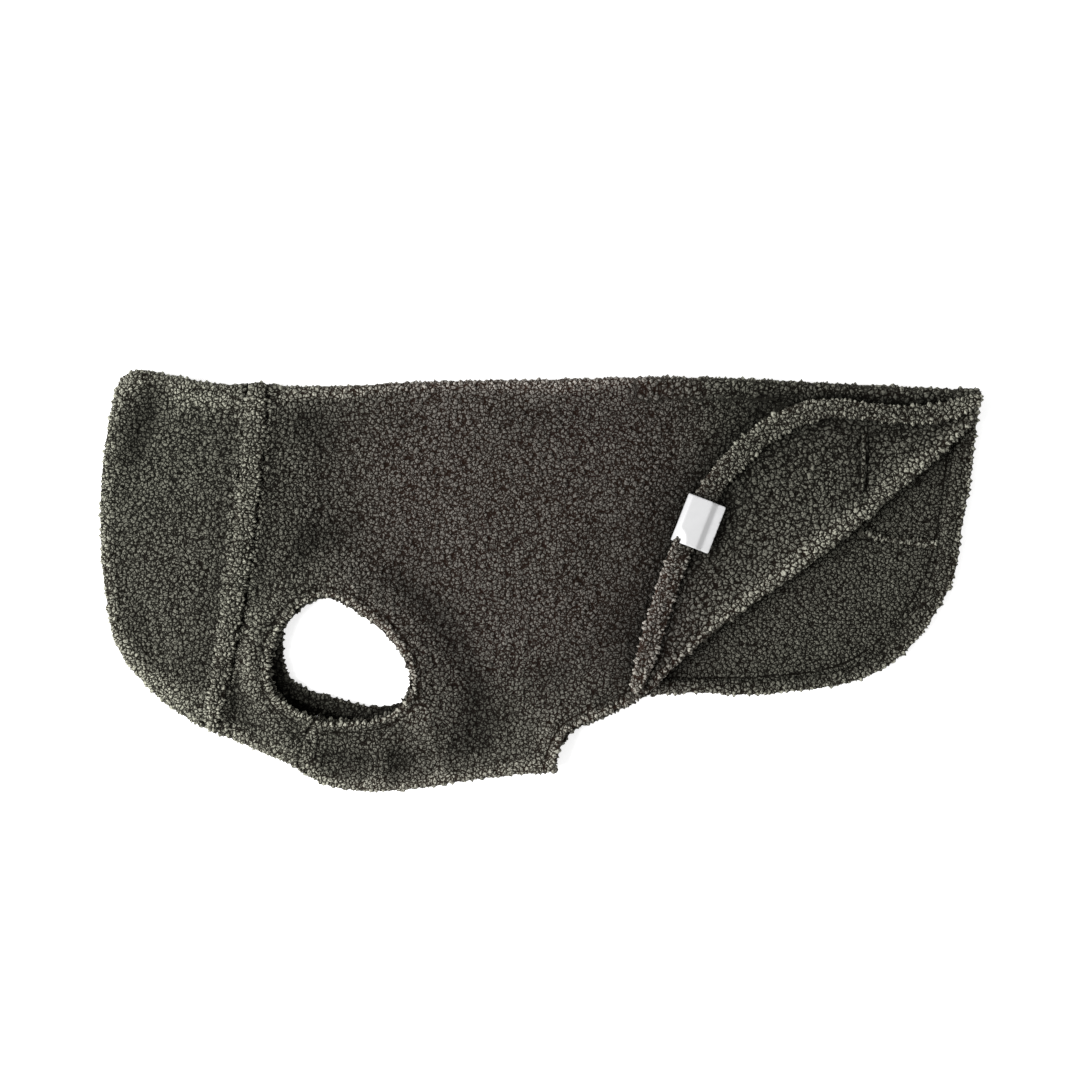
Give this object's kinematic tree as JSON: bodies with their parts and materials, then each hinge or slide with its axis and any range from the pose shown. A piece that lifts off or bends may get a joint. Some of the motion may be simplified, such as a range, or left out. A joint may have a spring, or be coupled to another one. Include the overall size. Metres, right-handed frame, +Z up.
{
  "type": "dog sweater",
  "caption": "Teddy-fleece dog sweater laid flat on its side, with a doubled collar, leg openings and one rear quarter turned back.",
  "frame": {"origin": "on the surface it rests on, under the middle of the garment's box", "axes": "+X from the neck towards the tail, +Y from the belly towards the spine, +Z up through the two sides that lie on each other"},
  "size_m": [0.4392, 0.2118, 0.0202],
  "materials": {
    "fleece": "matt teddy fleece with a nubbly pile",
    "satin": "white satin tape"
  },
  "bodies": {
    "root": {"collar": "fleece", "neck_seam": "fleece", "body": "fleece", "leg_hem_near": "fleece", "leg_hem_far": "fleece", "belly_hem_near": "fleece", "belly_hem_far": "fleece", "rear_hem_near": "fleece", "rear_hem_far": "fleece", "dart_near": "fleece", "dart_far": "fleece", "label": "satin"}
  },
  "joints": []
}
